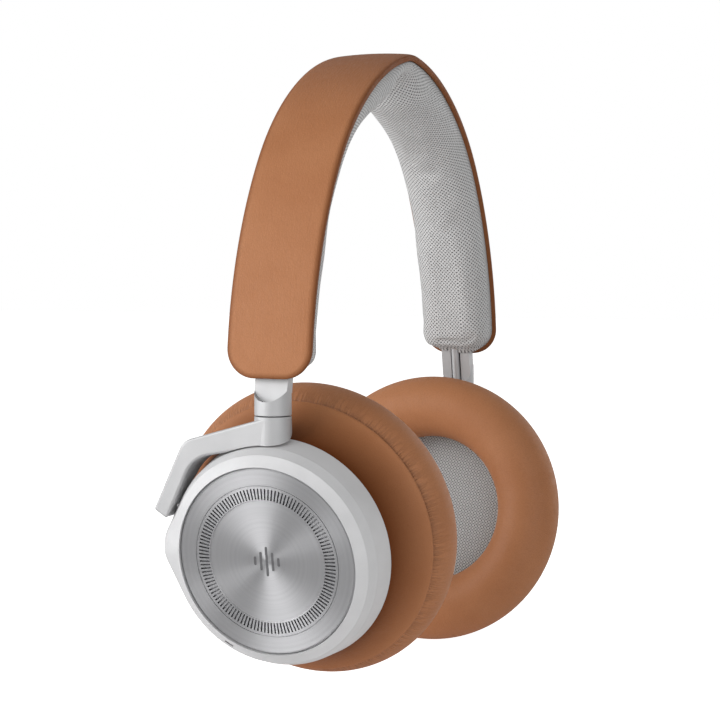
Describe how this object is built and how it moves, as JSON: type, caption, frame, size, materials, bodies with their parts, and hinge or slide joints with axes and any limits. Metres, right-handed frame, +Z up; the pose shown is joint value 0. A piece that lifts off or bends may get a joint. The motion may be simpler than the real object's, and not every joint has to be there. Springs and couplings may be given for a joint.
{
  "type": "over ear headphones",
  "caption": "Wireless over-ear headphones: padded leather sprung headband, sliding stems, one-sided yoke arms and tilting round cups with touch discs and ring cushions.",
  "frame": {"origin": "on the surface the headphones stand on, under the middle of the headband", "axes": "+X from the left cup to the right cup, +Y towards the side where the yoke arms run, +Z up through the crown of the headband"},
  "size_m": [0.1732, 0.0934, 0.1997],
  "materials": {
    "band_leather": "smooth tan leather, fine grain",
    "cushion_leather": "soft tan leather, fine wrinkles at the seams",
    "skirt_leather": "tan leather-look skin, fine grain",
    "pad_knit": "light grey spacer knit",
    "ear_cloth": "grey woven acoustic cloth",
    "satin_aluminium": "bead-blasted satin, anodised",
    "spun_aluminium": "circular spun brush, anodised",
    "dark_plastic": "fine matte",
    "black_mesh": "fine mesh",
    "emblem_ink": "printed",
    "steel": "drawn",
    "diaphragm_film": "film",
    "board": "solder mask",
    "battery_wrap": "film wrapped cell"
  },
  "bodies": {
    "band": {"band_cover": "band_leather", "spring_band": "steel", "band_pad": "pad_knit", "slider_housing_left": "dark_plastic", "slider_housing_right": "dark_plastic", "detent_springs": "steel"},
    "slider_left": {"slider_stem_left": "satin_aluminium", "cable_conduit_left": "satin_aluminium", "slider_stop_left": "dark_plastic"},
    "yoke_left": {"yoke_arm_left": "satin_aluminium", "arm_liner_left": "dark_plastic", "swivel_pin_left": "steel", "tilt_pin_left": "steel"},
    "cup_left": {"outer_ring_left": "satin_aluminium", "touch_disc_left": "spun_aluminium", "slot_mesh_left": "black_mesh", "disc_emblem_left": "emblem_ink", "skirt_left": "skirt_leather", "cushion_left": "cushion_leather", "clip_ring_left": "dark_plastic", "baffle_left": "dark_plastic", "driver_frame_left": "steel", "driver_magnet_left": "steel", "driver_diaphragm_left": "diaphragm_film", "driver_grille_left": "black_mesh", "ear_cloth_left": "ear_cloth", "microphone_left": "steel", "cup_screws_left": "steel", "chassis_left": "dark_plastic", "circuit_board_left": "board", "battery": "battery_wrap"},
    "slider_right": {"slider_stem_right": "satin_aluminium", "cable_conduit_right": "satin_aluminium", "slider_stop_right": "dark_plastic"},
    "yoke_right": {"yoke_arm_right": "satin_aluminium", "arm_liner_right": "dark_plastic", "swivel_pin_right": "steel", "tilt_pin_right": "steel"},
    "cup_right": {"outer_ring_right": "satin_aluminium", "touch_disc_right": "spun_aluminium", "slot_mesh_right": "black_mesh", "disc_emblem_right": "emblem_ink", "skirt_right": "skirt_leather", "cushion_right": "cushion_leather", "clip_ring_right": "dark_plastic", "baffle_right": "dark_plastic", "driver_frame_right": "steel", "driver_magnet_right": "steel", "driver_diaphragm_right": "diaphragm_film", "driver_grille_right": "black_mesh", "ear_cloth_right": "ear_cloth", "microphone_right": "steel", "cup_screws_right": "steel", "chassis_right": "dark_plastic", "circuit_board_right": "board", "usb_socket": "steel", "jack_socket": "dark_plastic"},
    "noise_button": {"noise_button": "satin_aluminium"},
    "voice_button": {"voice_button": "satin_aluminium"},
    "power_switch": {"power_switch": "satin_aluminium"}
  },
  "joints": [
    {"name": "size_slide_left", "type": "slide", "parent": "band", "child": "slider_left", "axis": [-0.1736, 0, -0.9848], "range_m": [-0.004, 0.018]},
    {"name": "swivel_left", "type": "hinge", "parent": "slider_left", "child": "yoke_left", "pos_m": [-0.0766, 0, 0.06055], "axis": [0, 0, -1], "range_deg": [-10, 90]},
    {"name": "tilt_left", "type": "hinge", "parent": "yoke_left", "child": "cup_left", "pos_m": [-0.0766, 0, 0.06055], "axis": [0, -1, 0], "range_deg": [-21.2, 4.8]},
    {"name": "size_slide_right", "type": "slide", "parent": "band", "child": "slider_right", "axis": [0.1736, 0, -0.9848], "range_m": [-0.0077, 0.0143]},
    {"name": "swivel_right", "type": "hinge", "parent": "slider_right", "child": "yoke_right", "pos_m": [0.07724, 0, 0.05691], "axis": [0, 0, 1], "range_deg": [-12, 88]},
    {"name": "tilt_right", "type": "hinge", "parent": "yoke_right", "child": "cup_right", "pos_m": [0.07724, 0, 0.05691], "axis": [-0.0349, 0.9994, 0], "range_deg": [-19.5, 6.5]},
    {"name": "noise_button_press", "type": "slide", "parent": "cup_left", "child": "noise_button", "axis": [-0.107, -0.7431, 0.6605], "range_m": [0, 0.0006], "stiffness_N_per_m": 900, "springref_m": -0.0004},
    {"name": "voice_button_press", "type": "slide", "parent": "cup_right", "child": "voice_button", "axis": [0.1325, -0.434, 0.8911], "range_m": [0, 0.0006], "stiffness_N_per_m": 900, "springref_m": -0.0004},
    {"name": "power_switch_slide", "type": "slide", "parent": "cup_right", "child": "power_switch", "axis": [0.0813, 0.6189, 0.7813], "range_m": [-0.002, 0.002]}
  ]
}
